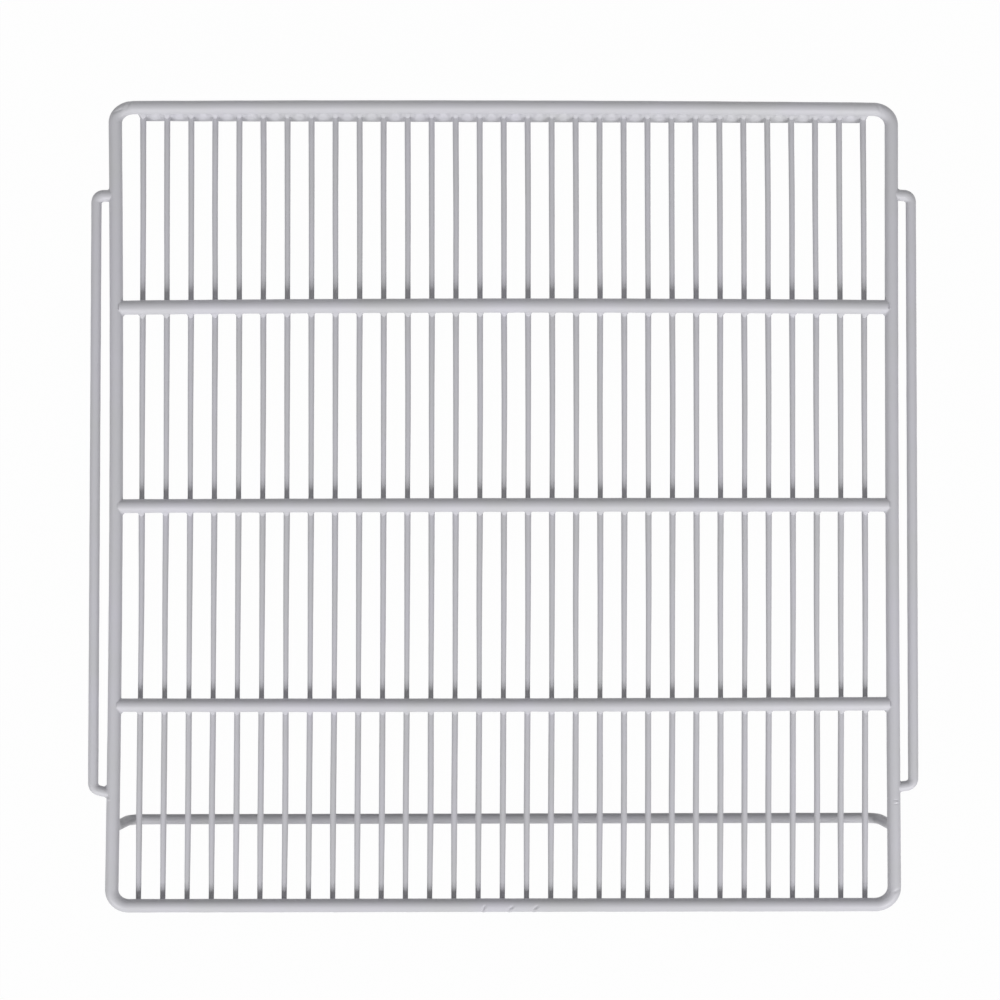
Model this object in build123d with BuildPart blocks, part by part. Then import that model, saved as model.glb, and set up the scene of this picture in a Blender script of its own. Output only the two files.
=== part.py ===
"""Refrigerator shelf: a welded wire grid with a thick plastic coating.

One bent wire closes on itself as the perimeter frame. Cross wires are butt-welded between
its sides, and a row of thin deck wires is welded under them from front to rear. A straight
lip wire lies under the deck beside the rear wire, a U-shaped stop wire stands square to the
deck near the front, and a bent runner wire stands out from each side of the frame. The whole
grid is coated after welding, so every diameter here is the coated one.

Frame: +X right, +Y rear, +Z up, out of the face where the frame and the cross wires lie on
the deck wires. That face is the underside in use, with the stop wire standing up behind the
goods. The origin is at the centre of the shelf, level with the stop wire's lowest point.
"""

from build123d import *
import os

# Overall sizes, in millimetres
frame_width = 506.0  # over the two side wires of the frame
frame_depth = 520.0  # over the front and rear wires of the frame
frame_bend = 10.0  # centreline radius of the frame's corners

# Coated wire diameters
frame_wire = 8.6
cross_wire = 8.6
deck_wire = 3.6
lip_gauge = 6.6
stop_gauge = 6.8
runner_wire = 6.6

# Welds
butt_bite = 0.8  # how far a butted end sinks into the frame's flank

# Cross wires, spaced evenly from the front wire to the rear wire
cross_names = ("front", "middle", "rear")

# Deck wires, spaced evenly across the width
deck_count = 31
deck_margin = 16.2  # from the side wires' centrelines to the outermost deck wires
deck_overhang = 2.2  # past the centrelines of the front and rear wires

# Lip wire, under the deck beside the rear wire
lip_inset = 4.2  # from the rear wire's centreline
lip_overhang = 1.6  # past the outermost deck wires' centrelines

# Stop wire, standing across the shelf near the front
stop_inset = 49.7  # from the front wire's centreline
stop_drop = 50.0  # from the frame's centreline down to the rail's
stop_bend = 10.0  # centreline radius

# Runner wires, one each side, bent by hand and so not quite alike
runner_reach = 12.0  # out from the side of the frame
runner_bend = 4.8  # centreline radius
runner_rear_inset_left = 57.5  # from the rear wire's centreline
runner_rear_inset_right = 56.5
runner_front_inset_left = 74.0  # from the front wire's centreline
runner_front_inset_right = 76.6
runner_drop_left = 2.2  # how far the front end slopes towards the front, bend to frame
runner_drop_right = 1.3

# Places that follow from the sizes above
side_x = (frame_width - frame_wire) / 2
end_y = (frame_depth - frame_wire) / 2
stop_z = stop_gauge / 2
frame_z = stop_z + stop_drop
seat_z = frame_z - frame_wire / 2  # underside of the frame and the cross wires
cross_z = seat_z + cross_wire / 2
deck_z = seat_z - deck_wire / 2
lip_z = seat_z - deck_wire - lip_gauge / 2
deck_pitch = 2 * (side_x - deck_margin) / (deck_count - 1)
deck_x = [(number - (deck_count - 1) / 2) * deck_pitch for number in range(deck_count)]
bay = 2 * end_y / (len(cross_names) + 1)


def section_at(path):
    """The plane square to a path at its start."""
    return Plane(origin=path @ 0, z_dir=path % 0)


def keep(part, name):
    """Label a finished wire and write its file."""
    part.label = name
    export_step(part, f"parts/{name}.step")


os.makedirs("parts", exist_ok=True)

# Perimeter frame: half of the bent wire, from the middle of the front to the middle of the
# rear, mirrored so that it closes on itself
with BuildPart() as perimeter_frame:
    with BuildLine(Plane.XY.offset(frame_z)) as half_path:
        FilletPolyline((0, -end_y), (side_x, -end_y), (side_x, end_y), (0, end_y), radius=frame_bend)
    with BuildSketch(section_at(half_path.line)):
        Circle(frame_wire / 2)
    sweep()
    mirror(about=Plane.YZ)
keep(perimeter_frame.part, "perimeter_frame")

# Cross wires: flat ends pressed into the frame's inner flanks
cross_length = frame_width - 2 * frame_wire + 2 * butt_bite
for index, place in enumerate(cross_names):
    cross_y = -end_y + (index + 1) * bay
    with BuildPart() as cross:
        with BuildSketch(Plane.YZ):
            with Locations((cross_y, cross_z)):
                Circle(cross_wire / 2)
        extrude(amount=cross_length / 2, both=True)
        add(perimeter_frame.part, mode=Mode.SUBTRACT)
    keep(cross.part, f"cross_wire_{place}")

# Lip wire: straight, from the first deck wire to the last
with BuildPart() as lip_wire:
    with BuildSketch(Plane.YZ):
        with Locations((end_y - lip_inset, lip_z)):
            Circle(lip_gauge / 2)
    extrude(amount=deck_x[-1] + lip_overhang, both=True)
keep(lip_wire.part, "lip_wire")

# Stop wire: a U standing square to the deck, its legs butted on the undersides of the frame's
# side wires
stop_y = -end_y + stop_inset
leg_end_z = seat_z + butt_bite
with BuildPart() as stop_wire:
    with BuildLine(Plane.XZ.offset(-stop_y)) as stop_path:
        FilletPolyline(
            (-side_x, leg_end_z),
            (-side_x, stop_z),
            (side_x, stop_z),
            (side_x, leg_end_z),
            radius=stop_bend,
        )
    with BuildSketch(section_at(stop_path.line)):
        Circle(stop_gauge / 2)
    sweep()
    add(perimeter_frame.part, mode=Mode.SUBTRACT)
keep(stop_wire.part, "stop_wire")

# Runner wires: bent like a long staple, with both ends butted on the frame's outer flank
runner_x = frame_width / 2 + runner_reach - runner_wire / 2
runner_root_x = frame_width / 2 - butt_bite
runner_ends = (
    ("left", -1, runner_rear_inset_left, runner_front_inset_left, runner_drop_left),
    ("right", 1, runner_rear_inset_right, runner_front_inset_right, runner_drop_right),
)
for place, side, rear_inset, front_inset, drop in runner_ends:
    with BuildPart() as runner:
        with BuildLine(Plane.XY.offset(frame_z)) as runner_path:
            FilletPolyline(
                (side * runner_root_x, end_y - rear_inset),
                (side * runner_x, end_y - rear_inset),
                (side * runner_x, -end_y + front_inset),
                (side * runner_root_x, -end_y + front_inset - drop),
                radius=runner_bend,
            )
        with BuildSketch(section_at(runner_path.line)):
            Circle(runner_wire / 2)
        sweep()
        add(perimeter_frame.part, mode=Mode.SUBTRACT)
    keep(runner.part, f"side_runner_{place}")

# Deck wires: straight, touching each wire that they cross, above and below
for number, x in enumerate(deck_x, start=1):
    with BuildPart() as deck:
        with BuildSketch(Plane.XZ):
            with Locations((x, deck_z)):
                Circle(deck_wire / 2)
        extrude(amount=end_y + deck_overhang, both=True)
    keep(deck.part, f"deck_wire_{number:02d}")
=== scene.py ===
"""Refrigerator shelf: the looks of a welded wire grid dipped in light grey plastic.

Each wire is skinned again as a coated tube in the place that its solid gives. The coating
varies a little along the wire, rounds off the cut ends, and gathers in a fillet wherever
two wires are welded. Lengths are in millimetres until a mesh is made.
"""
import math

import bmesh
import bpy
import numpy as np
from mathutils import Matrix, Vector


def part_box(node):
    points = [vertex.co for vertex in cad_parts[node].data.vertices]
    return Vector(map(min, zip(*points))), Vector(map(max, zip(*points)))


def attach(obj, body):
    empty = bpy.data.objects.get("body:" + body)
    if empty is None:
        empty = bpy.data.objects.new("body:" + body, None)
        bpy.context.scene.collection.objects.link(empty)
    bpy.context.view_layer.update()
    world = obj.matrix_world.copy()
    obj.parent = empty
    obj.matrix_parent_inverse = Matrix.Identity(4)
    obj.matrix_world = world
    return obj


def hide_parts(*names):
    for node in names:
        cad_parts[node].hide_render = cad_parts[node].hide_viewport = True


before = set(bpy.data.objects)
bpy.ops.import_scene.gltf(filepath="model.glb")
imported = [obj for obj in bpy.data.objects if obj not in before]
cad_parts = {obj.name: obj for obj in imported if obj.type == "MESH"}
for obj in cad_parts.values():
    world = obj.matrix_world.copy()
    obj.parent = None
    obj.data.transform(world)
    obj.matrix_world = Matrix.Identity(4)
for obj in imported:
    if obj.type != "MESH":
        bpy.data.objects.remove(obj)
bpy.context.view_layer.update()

MM = 0.001
TURN = 2 * math.pi
rng = np.random.default_rng(8)


# Places and sizes, from the solids

def span(node):
    """A solid's lowest and highest corners."""
    low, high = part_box(node)
    return np.array(low) / MM, np.array(high) / MM


def straight_axis(node, along):
    """Both ends of a straight wire's axis, and its radius."""
    low, high = span(node)
    start, end = (low + high) / 2, (low + high) / 2
    start[along], end[along] = low[along], high[along]
    return start, end, (high[2] - low[2]) / 2


cross_nodes = ("cross_wire_front", "cross_wire_middle", "cross_wire_rear")
deck_nodes = sorted(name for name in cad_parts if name.startswith("deck_wire_"))
frame_low, frame_high = span("perimeter_frame")
frame_radius = (frame_high[2] - frame_low[2]) / 2
frame_z = (frame_high[2] + frame_low[2]) / 2
side_x = frame_high[0] - frame_radius
end_y = frame_high[1] - frame_radius
frame_bends = (10.5, 12.0, 11.2, 10.7)  # centreline radii: front left, front right, rear right, rear left
stop_bend = 10.0
runner_bend = 4.8
runner_drop = {"left": 2.2, "right": 1.3}  # how far a runner's front end slopes

# The coating
coat_wave = 0.05  # how much its surface wanders, always inside the solid's own size
deck_wave = 0.03
end_round = 0.7  # over a cut end
butt_sink = 2.0  # how far a butted end runs into the wire that it meets
edge_sink = 0.05  # a fillet's rim, under the skin of both wires

# How far the hand-made wires stray from straight
deck_bow = 0.22  # the most that a deck wire bows sideways between two welds
stop_turn = 0.4  # how far the stop wire's rail swings, forward at the left and back at the right
stop_lean = 0.5  # how far the stop wire's rail leans to the front
stop_splay = (3.0, 1.5)  # how far its left and its right leg come inwards from frame to rail
bow_blend = 15.0  # over which two sides of the frame that meet take up each other's bow
wire_stray = {  # to the rear, at the left end, the middle and the right end
    "front_wire": (0.0, 0.2, 0.4),
    "cross_wire_front": (-0.48, -0.42, 0.51),
    "cross_wire_middle": (-1.42, -0.40, -0.03),
    "cross_wire_rear": (-2.1, -0.2, -0.76),
    "rear_wire": (-1.1, 0.0, -0.8),
}
cross_wide = {"cross_wire_front": 0.07, "cross_wire_middle": 0.19, "cross_wire_rear": 0.34}  # coat on each flank


def bowed(side, y):
    """How far the frame's left (-1) or right (1) side wire stands outside its straight line."""
    if side < 0:
        return -0.6 + 2.7e-5 * (y + 15.0) ** 2
    return 0.16 + 0.8e-5 * y ** 2


def side_wire_x(side, y):
    """Where a side wire's centreline runs."""
    return side * (side_x + bowed(side, y))


def stray_y(wire, x):
    """How far a wire along X stands to the rear of its straight line."""
    left, middle, right = wire_stray[wire]
    share = x / side_x
    return middle + (right - left) / 2 * share + ((right + left) / 2 - middle) * share ** 2


def deck_drift(y):
    """How far the whole row of deck wires stands to the right of its straight place."""
    return -0.10 + 0.96e-3 * y - 1.0e-5 * y ** 2


def near_side(place, side_place):
    """1 on a side of the frame, falling to 0 a little way from it."""
    near = np.clip((np.abs(place) - side_place) / bow_blend + 1, 0, 1)
    return near * near * (3 - 2 * near)


def strayed(path):
    """The frame's path with its four sides bowed."""
    x, y = path[:, 0], path[:, 1]
    out = np.where(x < 0, bowed(-1, y), bowed(1, y))
    back = np.where(y < 0, stray_y("front_wire", x), stray_y("rear_wire", x))
    moved = path.copy()
    moved[:, 0] += np.sign(x) * near_side(x, side_x) * out
    moved[:, 1] += near_side(y, end_y) * back
    return moved


# Shells: closed skins made from rings of points

def skin(rings, closed=False):
    """Points and faces of a closed shell over a stack of equal rings."""
    rings = np.asarray(rings)
    count, size = rings.shape[:2]
    index = np.arange(count * size).reshape(count, size)
    faces = []
    for n in range(count if closed else count - 1):
        a, b = index[n], index[(n + 1) % count]
        faces.extend(zip(a.tolist(), np.roll(a, -1).tolist(), np.roll(b, -1).tolist(), b.tolist()))
    if not closed:
        faces.append(tuple(index[0][::-1].tolist()))
        faces.append(tuple(index[-1].tolist()))
    return rings.reshape(-1, 3), faces


def stepped(start, end, step, fine=()):
    """Evenly spaced numbers from start to end, closer together inside the fine stretches."""
    low, high = min(start, end), max(start, end)
    stops = [low]
    while stops[-1] < high:
        here = stops[-1]
        stride = step
        for fine_low, fine_high, fine_step in fine:
            if fine_low - step < here < fine_high:
                stride = fine_step
        stops.append(here + stride)
    stops[-1] = high
    return np.array(stops if end > start else stops[::-1])


def bent_path(corners, radius, step, fine_x=(), fine_y=(), closed=False):
    """Points along a wire that turns each inner corner on an arc of that centreline radius.

    A closed wire has a radius for each corner.
    """
    corners = [np.asarray(c, float) for c in corners]
    count = len(corners)
    radii = radius if closed else [radius] * count
    points = []

    def arc(before, corner, after, radius):
        u, v = before - corner, after - corner
        u, v = u / np.linalg.norm(u), v / np.linalg.norm(v)
        half = math.acos(np.clip(u @ v, -1, 1)) / 2
        middle = (u + v) / np.linalg.norm(u + v)
        centre = corner + middle * radius / math.sin(half)
        first = corner + u * radius / math.tan(half) - centre
        last = corner + v * radius / math.tan(half) - centre
        sweep = math.acos(np.clip(first @ last / radius ** 2, -1, 1))
        shares = np.linspace(0, 1, 33)[:, None]
        return centre + (np.sin((1 - shares) * sweep) * first + np.sin(shares * sweep) * last) / math.sin(sweep)

    def run(a, b):
        along = int(np.argmax(np.abs(b - a)))
        marks = stepped(a[along], b[along], step, (fine_x, fine_y, ())[along])
        shares = ((marks - a[along]) / (b[along] - a[along]))[:, None]
        return a + shares * (b - a)

    order = range(count) if closed else range(1, count - 1)
    arcs = [arc(corners[n - 1], corners[n], corners[(n + 1) % count], radii[n]) for n in order]
    if closed:
        for n, bend in enumerate(arcs):
            points.extend(bend)
            points.extend(run(bend[-1], arcs[(n + 1) % count][0])[1:-1])
    else:
        ends = [corners[0]] + [p for bend in arcs for p in (bend[0], bend[-1])] + [corners[-1]]
        for n in range(0, len(ends), 2):
            stretch = run(ends[n], ends[n + 1])
            points.extend(stretch if n == 0 else stretch[1:])
            if n // 2 < len(arcs):
                points.extend(arcs[n // 2][1:])
    return np.array(points)


def tube(path, radius, segments, closed=False, round_ends=True, shape=None, wave_size=coat_wave, square_to=(0, 0, 1),
         wide=0.0, gathered=None):
    """A coated wire along a path, which stays square to one direction.

    shape gives the coating's own height at a point, where it has marks. wide is the extra coat on
    both flanks, and gathered gives the extra coat all round at each point of the path.
    """
    path = np.asarray(path, float)
    radii = np.full(len(path), radius)
    if not closed and round_ends:
        turns = np.linspace(0, math.pi / 2, 5)
        inward = path[1] - path[0]
        inward = inward / np.linalg.norm(inward)
        first = [path[0] + inward * end_round * (1 - math.sin(t)) for t in turns[::-1]]
        backward = path[-2] - path[-1]
        backward = backward / np.linalg.norm(backward)
        last = [path[-1] + backward * end_round * (1 - math.sin(t)) for t in turns[::-1]]
        rim = [radius - end_round + end_round * math.cos(t) for t in turns[::-1]]
        far = np.linalg.norm(path - path[0], axis=1) > end_round
        far &= np.linalg.norm(path - path[-1], axis=1) > end_round
        path = np.array(first + list(path[far]) + last[::-1])
        radii = np.array(rim + [radius] * int(far.sum()) + rim[::-1])
    if closed:
        along = np.roll(path, -1, axis=0) - np.roll(path, 1, axis=0)
    else:
        along = np.gradient(path, axis=0)
    along /= np.linalg.norm(along, axis=1)[:, None]
    side = np.cross(along, np.asarray(square_to, float))
    side /= np.linalg.norm(side, axis=1)[:, None]
    up = np.cross(side, along)
    turn = np.arange(segments) * TURN / segments
    normal = side[:, None] * np.cos(turn)[None, :, None] + up[:, None] * np.sin(turn)[None, :, None]
    length = np.concatenate(([0], np.cumsum(np.linalg.norm(np.diff(path, axis=0), axis=1))))
    if closed:
        length = length * round(length[-1] / TURN) * TURN / length[-1]
    phase = rng.uniform(0, TURN, 3)
    wave = 0.5 * np.sin(length / 7.0 + phase[0])[:, None] + 0 * turn
    wave = wave + 0.3 * np.sin(length[:, None] / 3.5 + turn + phase[1])
    wave = wave + 0.2 * np.sin(length[:, None] / 14.0 - 2 * turn + phase[2])
    height = wave_size * (wave - 1)
    if shape is not None:
        room = radius / np.abs(normal).max(axis=-1) - radius  # to the square round the wire
        height = np.minimum(height + shape(path[:, None] + normal * radius), room)
    if gathered is not None:
        height = height + gathered(path)[:, None]
    flank = side[:, None] * (wide * np.cos(turn))[None, :, None]
    return skin(path[:, None] + normal * (radii[:, None] + height)[:, :, None] + flank, closed)


def bowl(centre, p, q, inside_p, inside_q, steps):
    """The arc that a ball leaves from its foot p on one wire to its foot q on another."""
    radius = np.linalg.norm(p - centre)
    u, v = (p - centre) / radius, (q - centre) / np.linalg.norm(q - centre)
    sweep = max(math.acos(np.clip(u @ v, -1, 1)), 1e-4)
    shares = np.linspace(0, 1, steps)[:, None]
    arc = centre + radius * (np.sin((1 - shares) * sweep) * u + np.sin(shares * sweep) * v) / math.sin(sweep)
    sink_p = (inside_p - p) / np.linalg.norm(inside_p - p)
    sink_q = (inside_q - q) / np.linalg.norm(inside_q - q)
    return arc + edge_sink * (sink_p * (1 - shares) + sink_q * shares), sink_p, sink_q


def ball_ring(centres, first_foot, second_foot, first_axis, second_axis):
    """The closed ring that a ball leaves in the corner between two wires as it rolls round their weld.

    The feet are where the ball touches each wire, and the axis points lie inside the wires.
    """
    rings = []
    for centre, p, q, inside_p, inside_q in zip(centres, first_foot, second_foot, first_axis, second_axis):
        arc, sink_p, sink_q = bowl(centre, p, q, inside_p, inside_q, 8)
        rings.append(np.vstack([arc, q + sink_q * 0.5, p + sink_p * 0.5]))
    return skin(rings, closed=True)


def crossing_fillet(deck, wire_y, wire_z, wire_radius, front_ball, side_ball, rear_ball):
    """Coating gathered where a deck wire, along Y, touches a wire along X above or below it."""
    steps = 36
    deck_x, deck_z, a = deck
    b = wire_radius
    apart = abs(wire_z - deck_z)
    up = 1.0 if wire_z > deck_z else -1.0
    centres, deck_feet, wire_feet, deck_axis, wire_axis = [], [], [], [], []
    for turn in np.arange(steps) * TURN / steps:
        to_rear = math.cos(turn)
        ball = side_ball + ((rear_ball if to_rear > 0 else front_ball) - side_ball) * to_rear ** 2
        reach = math.acos(np.clip((apart - (b + ball)) / (a + ball), -1, 1))
        angle = reach * math.sin(turn)
        z = (a + ball) * math.cos(angle)
        x = (a + ball) * math.sin(angle)
        y = math.copysign(math.sqrt(max((b + ball) ** 2 - (z - apart) ** 2, 0)), to_rear)
        centre = np.array([x, y, z])
        centres.append(centre)
        deck_axis.append(np.array([0, y, 0]))
        wire_axis.append(np.array([x, 0, apart]))
        deck_feet.append(deck_axis[-1] + (centre - deck_axis[-1]) * a / (a + ball))
        wire_feet.append(wire_axis[-1] + (centre - wire_axis[-1]) * b / (b + ball))
    points, faces = ball_ring(centres, deck_feet, wire_feet, deck_axis, wire_axis)
    return points * (1, 1, up) + (deck_x + deck_drift(wire_y), wire_y, deck_z), faces


def butt_fillet(root, direction, radius, front_ball, rear_ball):
    """Coating gathered round a wire's end that is butted on a side wire of the frame, along Y.

    root is where the wire's axis meets the side wire's, and direction leads away from there.
    """
    steps = 40
    root = np.asarray(root, float)
    direction = np.asarray(direction, float) / np.linalg.norm(direction)
    across = np.cross(direction, (0, 1, 0) if abs(direction[2]) > 0.5 else (0, 0, 1))
    across /= np.linalg.norm(across)
    upward = np.cross(across, direction)
    flat = direction[[0, 2]]
    centres, wire_feet, wall_feet, wire_axis, wall_axis = [], [], [], [], []
    for turn in np.arange(steps) * TURN / steps:
        out = across * math.sin(turn) + upward * math.cos(turn)
        ball = rear_ball + (front_ball - rear_ball) * (0.5 - 0.5 * out[1])
        off = root + out * (radius + ball)
        beside = (off - root)[[0, 2]]
        b, c = beside @ flat, beside @ beside - (frame_radius + ball) ** 2
        slide = (-b + math.sqrt(max(b * b - c * (flat @ flat), 0))) / (flat @ flat)
        centre = off + direction * slide
        centres.append(centre)
        wire_axis.append(root + direction * slide)
        wall_axis.append(np.array([root[0], centre[1], root[2]]))
        wire_feet.append(wire_axis[-1] + out * radius)
        wall_feet.append(wall_axis[-1] + (centre - wall_axis[-1]) * frame_radius / (frame_radius + ball))
    return ball_ring(centres, wire_feet, wall_feet, wire_axis, wall_axis)


def web(xs, upper, lower, front_balls, rear_balls):
    """Coating bridged between two wires along X that lie side by side.

    upper and lower give each wire's y, z and radius, the upper one's y at each x. A ball of the
    size given at each x is pressed into the groove between them, from the front and from the rear.
    """
    rings = []
    for x, upper_y, front_ball, rear_ball in zip(xs, upper[0], front_balls, rear_balls):
        a, b = np.array([upper_y, upper[1]]), np.array(lower[:2])
        line = (b - a) / np.linalg.norm(b - a)
        apart = np.linalg.norm(b - a)
        ring = []
        for ball, sign in ((front_ball, -1.0), (rear_ball, 1.0)):
            from_a, from_b = upper[2] + ball, lower[2] + ball
            along = (from_a ** 2 - from_b ** 2 + apart ** 2) / (2 * apart)
            square = np.array([-line[1], line[0]])
            square *= math.copysign(1.0, square[0]) * sign
            centre = a + line * along + square * math.sqrt(max(from_a ** 2 - along ** 2, 0))
            p = a + (centre - a) * upper[2] / from_a
            q = b + (centre - b) * lower[2] / from_b
            arc = bowl(centre, p, q, a, b, 10)[0]
            ring.extend(arc if sign < 0 else arc[::-1])
        rings.append(np.column_stack([np.full(len(ring), x), ring]))
    return skin(rings)


# Material: polyethylene dip over welded steel wire, fused on hot, so it is thick and soft-edged.
# The eye gets a satin skin, a broad dull highlight, slight orange peel and a cool light grey.

def linear(hex_colour):
    """Linear colour of an sRGB hex value."""
    parts = [int(hex_colour[n:n + 2], 16) / 255 for n in (1, 3, 5)]
    return tuple(p / 12.92 if p <= 0.04045 else ((p + 0.055) / 1.055) ** 2.4 for p in parts) + (1.0,)


def node(tree, kind, inputs=None, **settings):
    """Add a node, set it, and give each input a value or another node's output."""
    made = tree.nodes.new(kind)
    for name, value in settings.items():
        setattr(made, name, value)
    for name, value in (inputs or {}).items():
        if isinstance(value, bpy.types.NodeSocket):
            tree.links.new(value, made.inputs[name])
        else:
            made.inputs[name].default_value = value
    return made


def new_material(name):
    """An empty node material and its tree."""
    made = bpy.data.materials.new(name)
    made.use_nodes = True
    made.node_tree.nodes.clear()
    return made, made.node_tree


dip_coat, tree = new_material("polyethylene_dip_coat")
place = node(tree, "ShaderNodeTexCoord").outputs["Object"]
cloud_mm, peel_mm, grain_mm = 38.0, 3.2, 1.1
cloud = node(tree, "ShaderNodeTexNoise", {"Vector": place, "Scale": 1 / (cloud_mm * MM), "Detail": 3.0})
peel = node(tree, "ShaderNodeTexNoise", {"Vector": place, "Scale": 1 / (peel_mm * MM), "Detail": 2.0})
grain = node(tree, "ShaderNodeTexNoise", {"Vector": place, "Scale": 1 / (grain_mm * MM), "Detail": 2.0})
tint = node(tree, "ShaderNodeValToRGB", {"Fac": cloud.outputs["Fac"]})
tint.color_ramp.elements[0].position = 0.3
tint.color_ramp.elements[0].color = linear("#B9B9BC")
tint.color_ramp.elements[1].position = 0.7
tint.color_ramp.elements[1].color = linear("#BCBBC2")
gloss = node(tree, "ShaderNodeMapRange", {"Value": peel.outputs["Fac"], "From Min": 0.3, "From Max": 0.7,
                                          "To Min": 0.46, "To Max": 0.54})
orange_peel = node(tree, "ShaderNodeBump", {"Height": peel.outputs["Fac"], "Strength": 0.12, "Distance": 0.15 * MM})
fine_peel = node(tree, "ShaderNodeBump", {"Height": grain.outputs["Fac"], "Strength": 0.1, "Distance": 0.05 * MM,
                                          "Normal": orange_peel.outputs["Normal"]})
plastic = node(tree, "ShaderNodeBsdfPrincipled", {"Base Color": tint.outputs["Color"], "IOR": 1.45,
                                                  "Roughness": gloss.outputs["Result"],
                                                  "Normal": fine_peel.outputs["Normal"]})
node(tree, "ShaderNodeOutputMaterial", {"Surface": plastic.outputs["BSDF"]})


# Pieces: one for each wire, with the fillets that gather on it

def piece(node_name, shells):
    """Make one coated wire from its shells, in the place of its solid."""
    points, faces, offset = [], [], 0
    for shell_points, shell_faces in shells:
        points.append(shell_points)
        faces.extend(tuple(i + offset for i in face) for face in shell_faces)
        offset += len(shell_points)
    mesh = bpy.data.meshes.new("coated_" + node_name)
    mesh.from_pydata((np.vstack(points) * MM).tolist(), [], faces)
    work = bmesh.new()
    work.from_mesh(mesh)
    bmesh.ops.recalc_face_normals(work, faces=work.faces)
    work.to_mesh(mesh)
    work.free()
    mesh.polygons.foreach_set("use_smooth", [True] * len(mesh.polygons))
    mesh.set_sharp_from_angle(angle=math.radians(50))
    mesh.materials.append(dip_coat)
    made = bpy.data.objects.new("coated_" + node_name, mesh)
    bpy.context.scene.collection.objects.link(made)
    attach(made, "root")
    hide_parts(node_name)
    return made


# Deck wires: each bows a little between its welds. The shelf hung by its front wire while the
# coating was soft, so more of it stayed on the front side of each wire that crosses the deck
welds_y = [-end_y] + [straight_axis(name, 0)[0][1] for name in cross_nodes] + [end_y]
stop_low, stop_high = span("stop_wire")
stop_y = (stop_high[1] + stop_low[1]) / 2
weld_gap = 4.0  # from a weld to where the coat is measured
coat_y = [welds_y[0], stop_y, welds_y[1] - weld_gap, welds_y[1] + weld_gap, welds_y[2] - weld_gap, welds_y[2] + weld_gap,
          welds_y[3] - weld_gap, welds_y[3] + weld_gap, welds_y[4]]
coat_gathered = [-0.10, 0.19, 0.20, -0.17, 0.28, -0.12, 0.22, -0.02, 0.21]


def deck_coat(path):
    """Extra coat along a deck wire."""
    return np.interp(path[:, 1], coat_y, coat_gathered)


decks = []
for name in deck_nodes:
    start, end, radius = straight_axis(name, 1)
    y = stepped(start[1], end[1], 4.0)
    bow = np.zeros(len(y))
    for low, high in zip(welds_y[:-1], welds_y[1:]):
        inside = (y > low) & (y < high)
        bow[inside] = rng.uniform(-deck_bow, deck_bow) * np.sin((y[inside] - low) / (high - low) * math.pi) ** 2
    path = np.column_stack([start[0] + deck_drift(y) + bow, y, np.full(len(y), start[2])])
    piece(name, [tube(path, radius, 20, wave_size=deck_wave, gathered=deck_coat)])
    decks.append((start[0], start[2], radius))

# Perimeter frame, with the marks that making it left in its coating, seen from above:
# x, y, the direction that a mark runs in (degrees from +X), half its length, half its width, its height
marks = [
    (-13.2, -257.2, 60, 2.4, 0.7, -0.6),  # three slanting ridges on the front wire, each beside a groove
    (-12.0, -257.9, 60, 2.4, 0.8, 0.6),
    (3.6, -257.2, 40, 2.6, 0.7, -0.6),
    (4.8, -258.2, 40, 2.6, 0.8, 0.6),
    (19.4, -257.0, 40, 2.6, 0.7, -0.6),
    (20.6, -258.0, 40, 2.6, 0.8, 0.6),
    (-251.5, -187.9, 0, 0.9, 0.8, 0.3),  # a pimple on the left side wire
    (249.9, -188.4, 0, 1.6, 0.5, -0.15),  # a pinch on the right side wire, between two nicks
    (249.9, -189.6, 0, 1.6, 0.6, 0.25),
    (249.9, -190.8, 0, 1.6, 0.5, -0.15),
    (-241.3, 255.5, 70, 3.5, 0.8, -0.45),  # wrinkles in the bends
    (-247.7, 251.8, 20, 3.5, 0.8, -0.45),
    (224.7, 255.3, 90, 3.5, 0.5, -0.2),
    (241.0, 254.2, 110, 3.5, 0.8, -0.45),
    (250.8, -245.8, 20, 3.0, 0.8, -0.4),
]


def frame_marks(point):
    """Height of the marks at each point of the frame's skin."""
    height = np.zeros(point.shape[:-1])
    for x, y, direction, half_length, half_width, mark_height in marks:
        run = math.radians(direction)
        along = (point[..., 0] - x) * math.cos(run) + (point[..., 1] - y) * math.sin(run)
        across = (point[..., 1] - y) * math.cos(run) - (point[..., 0] - x) * math.sin(run)
        height += mark_height * np.exp(-(along / half_length) ** 4 - (across / half_width) ** 2)
    return np.where(point[..., 2] > frame_z, height, 0)


corner = [(-side_x, -end_y, frame_z), (side_x, -end_y, frame_z), (side_x, end_y, frame_z), (-side_x, end_y, frame_z)]
frame_path = bent_path(corner, frame_bends, 5.0, fine_x=[(-16, 24, 0.3), (222, 227, 0.3)],
                       fine_y=[(-194, -186, 0.2)], closed=True)
shells = [tube(strayed(frame_path), frame_radius, 64, closed=True, shape=frame_marks)]
for deck in decks:
    front_y, rear_y = -end_y + stray_y("front_wire", deck[0]), end_y + stray_y("rear_wire", deck[0])
    shells.append(crossing_fillet(deck, front_y, frame_z, frame_radius, 0.2, 0.9, 0.9))
    shells.append(crossing_fillet(deck, rear_y, frame_z, frame_radius, 2.8, 2.2, 0.2))
piece("perimeter_frame", shells)

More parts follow.
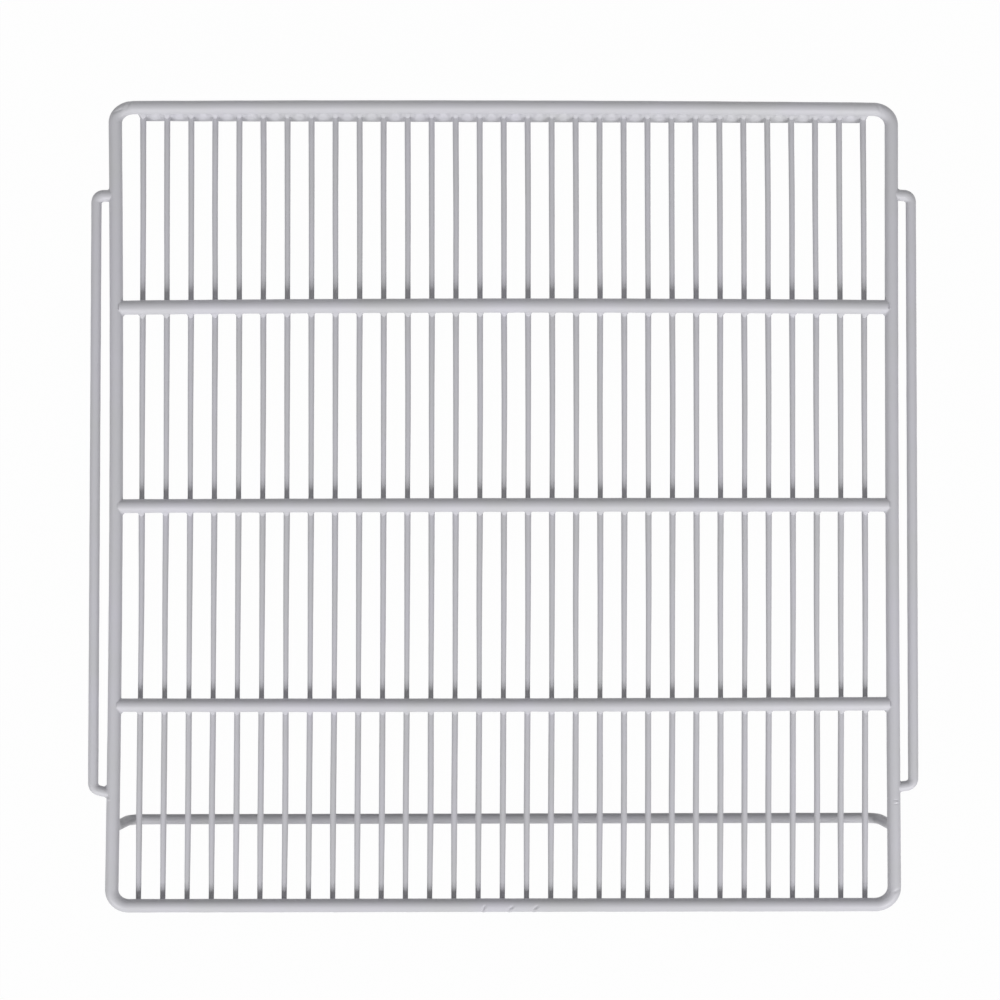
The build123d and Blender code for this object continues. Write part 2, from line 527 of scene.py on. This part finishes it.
# Cross wires: butted on the frame's inner flanks
for name in cross_nodes:
    start, end, radius = straight_axis(name, 0)
    reach = side_x - frame_radius + butt_sink
    wide = cross_wide[name]
    x = stepped(-reach, reach, 4.0)
    path = np.column_stack([x, start[1] + stray_y(name, x), np.full(len(x), start[2])])
    shells = [tube(path, radius, 40, round_ends=False, wide=wide)]
    for deck in decks:
        weld_y = start[1] + stray_y(name, deck[0])
        shells.append(crossing_fillet(deck, weld_y, start[2], radius + wide / 2, 2.9, 1.3, 1.3))
    for side in (-1, 1):
        weld_y = start[1] + stray_y(name, side * side_x)
        root = (side_wire_x(side, weld_y), weld_y, start[2])
        shells.append(butt_fillet(root, (-side, 0, 0), radius - 0.12 + wide / 2, 2.0, 0.8))
    piece(name, shells)

# Lip wire, bridged to the rear wire of the frame by its coating
start, end, radius = straight_axis("lip_wire", 0)
x = stepped(start[0], end[0], 4.0)
path = np.column_stack([x, np.full(len(x), start[1]), np.full(len(x), start[2])])
shells = [tube(path, radius, 32)]
for deck in decks:
    shells.append(crossing_fillet(deck, start[1], start[2], radius, 0.7, 1.2, 0.7))
x = stepped(start[0] + 1.0, end[0] - 1.0, 0.8)
pitch = decks[1][0] - decks[0][0]
by_deck = 0.5 + 0.5 * np.cos((x - decks[0][0] - deck_drift(end_y)) / pitch * TURN)
from_end = np.clip((end[0] - np.abs(x)) / 8.0, 0, 1) ** 0.5
front_balls = 2.4 + (1.0 + 30.0 * by_deck ** 2) * from_end
rear_balls = 2.4 + 0.6 * from_end
rear_wire = (end_y + stray_y("rear_wire", x), frame_z, frame_radius)
shells.append(web(x, rear_wire, (start[1], start[2], radius), front_balls, rear_balls))
piece("lip_wire", shells)

# Stop wire: a U that stands square to the deck, its legs butted on the side wires' undersides
radius = (stop_high[1] - stop_low[1]) / 2
stop_z = stop_low[2] + radius
leg_top = frame_z - frame_radius + butt_sink
leg_x = [side_wire_x(side, stop_y) for side in (-1, 1)]
rail_x = (leg_x[0] + stop_splay[0], leg_x[1] - stop_splay[1])
corner = [(leg_x[0], stop_y, leg_top), (rail_x[0], stop_y, stop_z), (rail_x[1], stop_y, stop_z), (leg_x[1], stop_y, leg_top)]
path = bent_path(corner, stop_bend, 4.0)
path[:, 1] += stop_turn * path[:, 0] / side_x - stop_lean * (frame_z - path[:, 2]) / (frame_z - stop_z)
shells = [tube(path, radius, 36, round_ends=False, square_to=(0, 1, 0))]
for side, x in zip((-1, 1), leg_x):
    shells.append(butt_fillet((x, stop_y + side * stop_turn, frame_z), (0, 0, -1), radius, 1.6, 1.6))
piece("stop_wire", shells)

# Side runners: bent like a long staple, butted on the frame's outer flanks.
# Balls of the fillets at the front end and at the rear end: on the front side, on the rear side
runner_balls = {"left": ((1.5, 1.4), (0.7, 1.4)), "right": ((1.5, 0.8), (0.7, 0.8))}
runner_swell = {"left": 0.5, "right": 0.35}  # extra coat on the rear end
runner_rise = {"left": 0.0, "right": 0.8}  # how far the rear end slopes to the rear, bend to frame
for place_name, side in (("left", -1), ("right", 1)):
    name = "side_runner_" + place_name
    low, high = span(name)
    radius = (high[2] - low[2]) / 2
    runner_x = side * (max(abs(low[0]), abs(high[0])) - radius)
    rear_y = high[1] - radius
    front_root_y = low[1] + radius
    front_y = front_root_y + runner_drop[place_name]
    root_x = side * (side_x + frame_radius - butt_sink)
    slant = (front_y - front_root_y) / (abs(runner_x) - side_x - frame_radius)
    swell = runner_swell[place_name]
    bend_y, root_y = rear_y - swell, rear_y - swell + runner_rise[place_name]
    corner = [(root_x, root_y, frame_z), (runner_x, bend_y, frame_z), (runner_x, front_y, frame_z),
              (root_x, front_root_y - slant * butt_sink, frame_z)]

    def end_coat(path):
        """Extra coat on the rear end, thinning out round its bend."""
        near = np.clip((path[:, 1] - bend_y) / runner_bend + 1, 0, 1)
        return swell * near * near * (3 - 2 * near)

    shells = [tube(bent_path(corner, runner_bend, 1.0), radius, 32, round_ends=False, gathered=end_coat)]
    front_balls, rear_balls = runner_balls[place_name]
    wall_x = side_wire_x(side, front_y)
    root = (wall_x, front_y - slant * abs(runner_x - wall_x), frame_z)
    shells.append(butt_fillet(root, (side, slant, 0), radius, *front_balls))
    shells.append(butt_fillet((side_wire_x(side, rear_y), root_y, frame_z), (side, 0, 0), radius + swell, *rear_balls))
    piece(name, shells)


# Studio: a white paper sweep under the shelf, a broad softbox on each side of the front and a dim even sky

def seen_directly(tree):
    """1 for rays from the camera and for what gloss and glass show, 0 for light."""
    rays = node(tree, "ShaderNodeLightPath")
    seen = node(tree, "ShaderNodeMath", {0: rays.outputs["Is Camera Ray"], 1: rays.outputs["Is Glossy Ray"]},
                operation="MAXIMUM")
    return node(tree, "ShaderNodeMath", {0: seen.outputs[0], 1: rays.outputs["Is Transmission Ray"]},
                operation="MAXIMUM").outputs[0]


paper, tree = new_material("white_paper_sweep")
share = node(tree, "ShaderNodeMath", {0: seen_directly(tree), 1: 0.985}, operation="MULTIPLY")
matte = node(tree, "ShaderNodeBsdfDiffuse", {"Color": linear("#949494")})
white = node(tree, "ShaderNodeEmission", {"Color": (1, 1, 1, 1), "Strength": 1.0})
paper_mix = node(tree, "ShaderNodeMixShader", {"Fac": share.outputs[0]})
tree.links.new(matte.outputs["BSDF"], paper_mix.inputs[1])
tree.links.new(white.outputs["Emission"], paper_mix.inputs[2])
node(tree, "ShaderNodeOutputMaterial", {"Surface": paper_mix.outputs["Shader"]})

floor_mesh = bpy.data.meshes.new("floor")
half = 6.0
floor_mesh.from_pydata([(-half, -half, 0), (half, -half, 0), (half, half, 0), (-half, half, 0)], [], [(0, 1, 2, 3)])
floor_mesh.materials.append(paper)
floor = bpy.data.objects.new("floor", floor_mesh)
floor.location.z = -0.0002
bpy.context.scene.collection.objects.link(floor)

world = bpy.data.worlds.new("studio")
bpy.context.scene.world = world
world.use_nodes = True
tree = world.node_tree
tree.nodes.clear()
dim = node(tree, "ShaderNodeBackground", {"Color": (1, 1, 1, 1), "Strength": 0.27})
bright = node(tree, "ShaderNodeBackground", {"Color": (1, 1, 1, 1), "Strength": 1.0})
sky = node(tree, "ShaderNodeMixShader", {"Fac": seen_directly(tree)})
tree.links.new(dim.outputs["Background"], sky.inputs[1])
tree.links.new(bright.outputs["Background"], sky.inputs[2])
node(tree, "ShaderNodeOutputWorld", {"Surface": sky.outputs["Shader"]})


def softbox(name, place, facing, width, height, level):
    """A soft lamp, whose light at the middle of the shelf falls on a facing surface at that level."""
    data = bpy.data.lights.new(name, "AREA")
    data.shape = "RECTANGLE"
    data.size, data.size_y = width, height
    place, facing = Vector(place), Vector(facing).normalized()
    data.energy = level * math.pi * math.pi * place.length ** 2 / facing.dot(-place.normalized())
    lamp = bpy.data.objects.new(name, data)
    lamp.location = place + Vector((0, 0, frame_z * MM))
    lamp.rotation_euler = (-facing).to_track_quat("Z", "Y").to_euler()
    bpy.context.scene.collection.objects.link(lamp)


softbox("right_softbox", (0.85, -1.00, 0.86), (0, 1, 0.15), 0.65, 0.8, 0.61)
softbox("left_softbox", (-0.85, -1.00, 0.86), (0, 1, 0.15), 0.65, 0.8, 0.55)
softbox("rear_fill", (0, 1.0, 0.25), (0, -1, 0), 1.4, 0.45, 0.26)

# Camera: nearly square-on, above the middle of the shelf
picture_px = 1000
focal_px = 2163.636
camera = bpy.data.cameras.new("camera")
camera.sensor_width = 36.0
camera.lens = focal_px / picture_px * camera.sensor_width
camera_stand = bpy.data.objects.new("camera", camera)
camera_stand.location = Vector((-16.632, -33.751, frame_z + 1385.0)) * MM
camera_stand.rotation_euler = [math.radians(a) for a in (1.51005, -0.57805, 0.04401)]
bpy.context.scene.collection.objects.link(camera_stand)
bpy.context.scene.camera = camera_stand
bpy.context.scene.view_settings.view_transform = "Standard"
